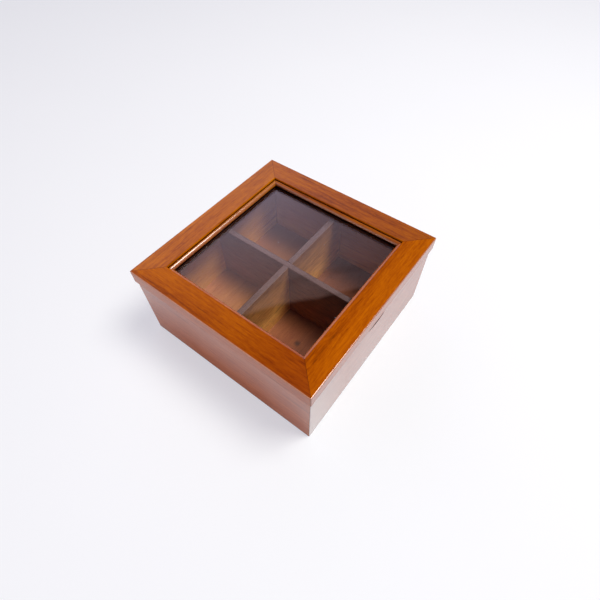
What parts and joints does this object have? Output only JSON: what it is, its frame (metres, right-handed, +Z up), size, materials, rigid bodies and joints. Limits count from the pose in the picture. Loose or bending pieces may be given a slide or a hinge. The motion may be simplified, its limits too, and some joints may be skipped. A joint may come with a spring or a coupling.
{
  "type": "tea box with hinged glazed lid",
  "caption": "Square wooden tea box: mitred walls, cross-lapped dividers, and a hinged mitred lid frame with moulded inner edge, glass pane and finger scoop.",
  "frame": {"origin": "on the table, at the centre of the square box", "axes": "+Z up, -Y is the front with the finger scoop, +Y is the back with the hinges, +X is the right-hand side seen from the front"},
  "size_m": [0.1656, 0.1679, 0.0755],
  "materials": {
    "lid_wood": "reddish-orange stain under satin varnish",
    "wall_wood": "brown stain under glossy varnish",
    "divider_wood": "brown stain, thin varnish",
    "bottom_ply": "brown stained plywood",
    "strip_wood": "brown stain",
    "glass": "clear float glass",
    "hinge_brass": "brushed, lacquered",
    "screw_brass": "turned, slotted",
    "brad_steel": "bright drawn wire"
  },
  "bodies": {
    "box": {"front_wall": "wall_wood", "right_wall": "wall_wood", "back_wall": "wall_wood", "left_wall": "wall_wood", "bottom_board": "bottom_ply", "long_divider": "divider_wood", "cross_divider": "divider_wood", "left_hinge_box_leaf": "hinge_brass", "right_hinge_box_leaf": "hinge_brass", "left_hinge_pin": "hinge_brass", "right_hinge_pin": "hinge_brass", "box_hinge_screws": "screw_brass"},
    "lid": {"lid_front_rail": "lid_wood", "lid_right_rail": "lid_wood", "lid_back_rail": "lid_wood", "lid_left_rail": "lid_wood", "glass_pane": "glass", "glazing_strip_front": "strip_wood", "glazing_strip_right": "strip_wood", "glazing_strip_back": "strip_wood", "glazing_strip_left": "strip_wood", "glazing_brads": "brad_steel", "left_hinge_lid_leaf": "hinge_brass", "right_hinge_lid_leaf": "hinge_brass", "lid_hinge_screws": "screw_brass"}
  },
  "joints": [
    {"name": "lid_hinge", "type": "hinge", "parent": "box", "child": "lid", "pos_m": [0, 0.08395, 0.0635], "axis": [-1, 0, 0], "range_deg": [0, 95]}
  ]
}
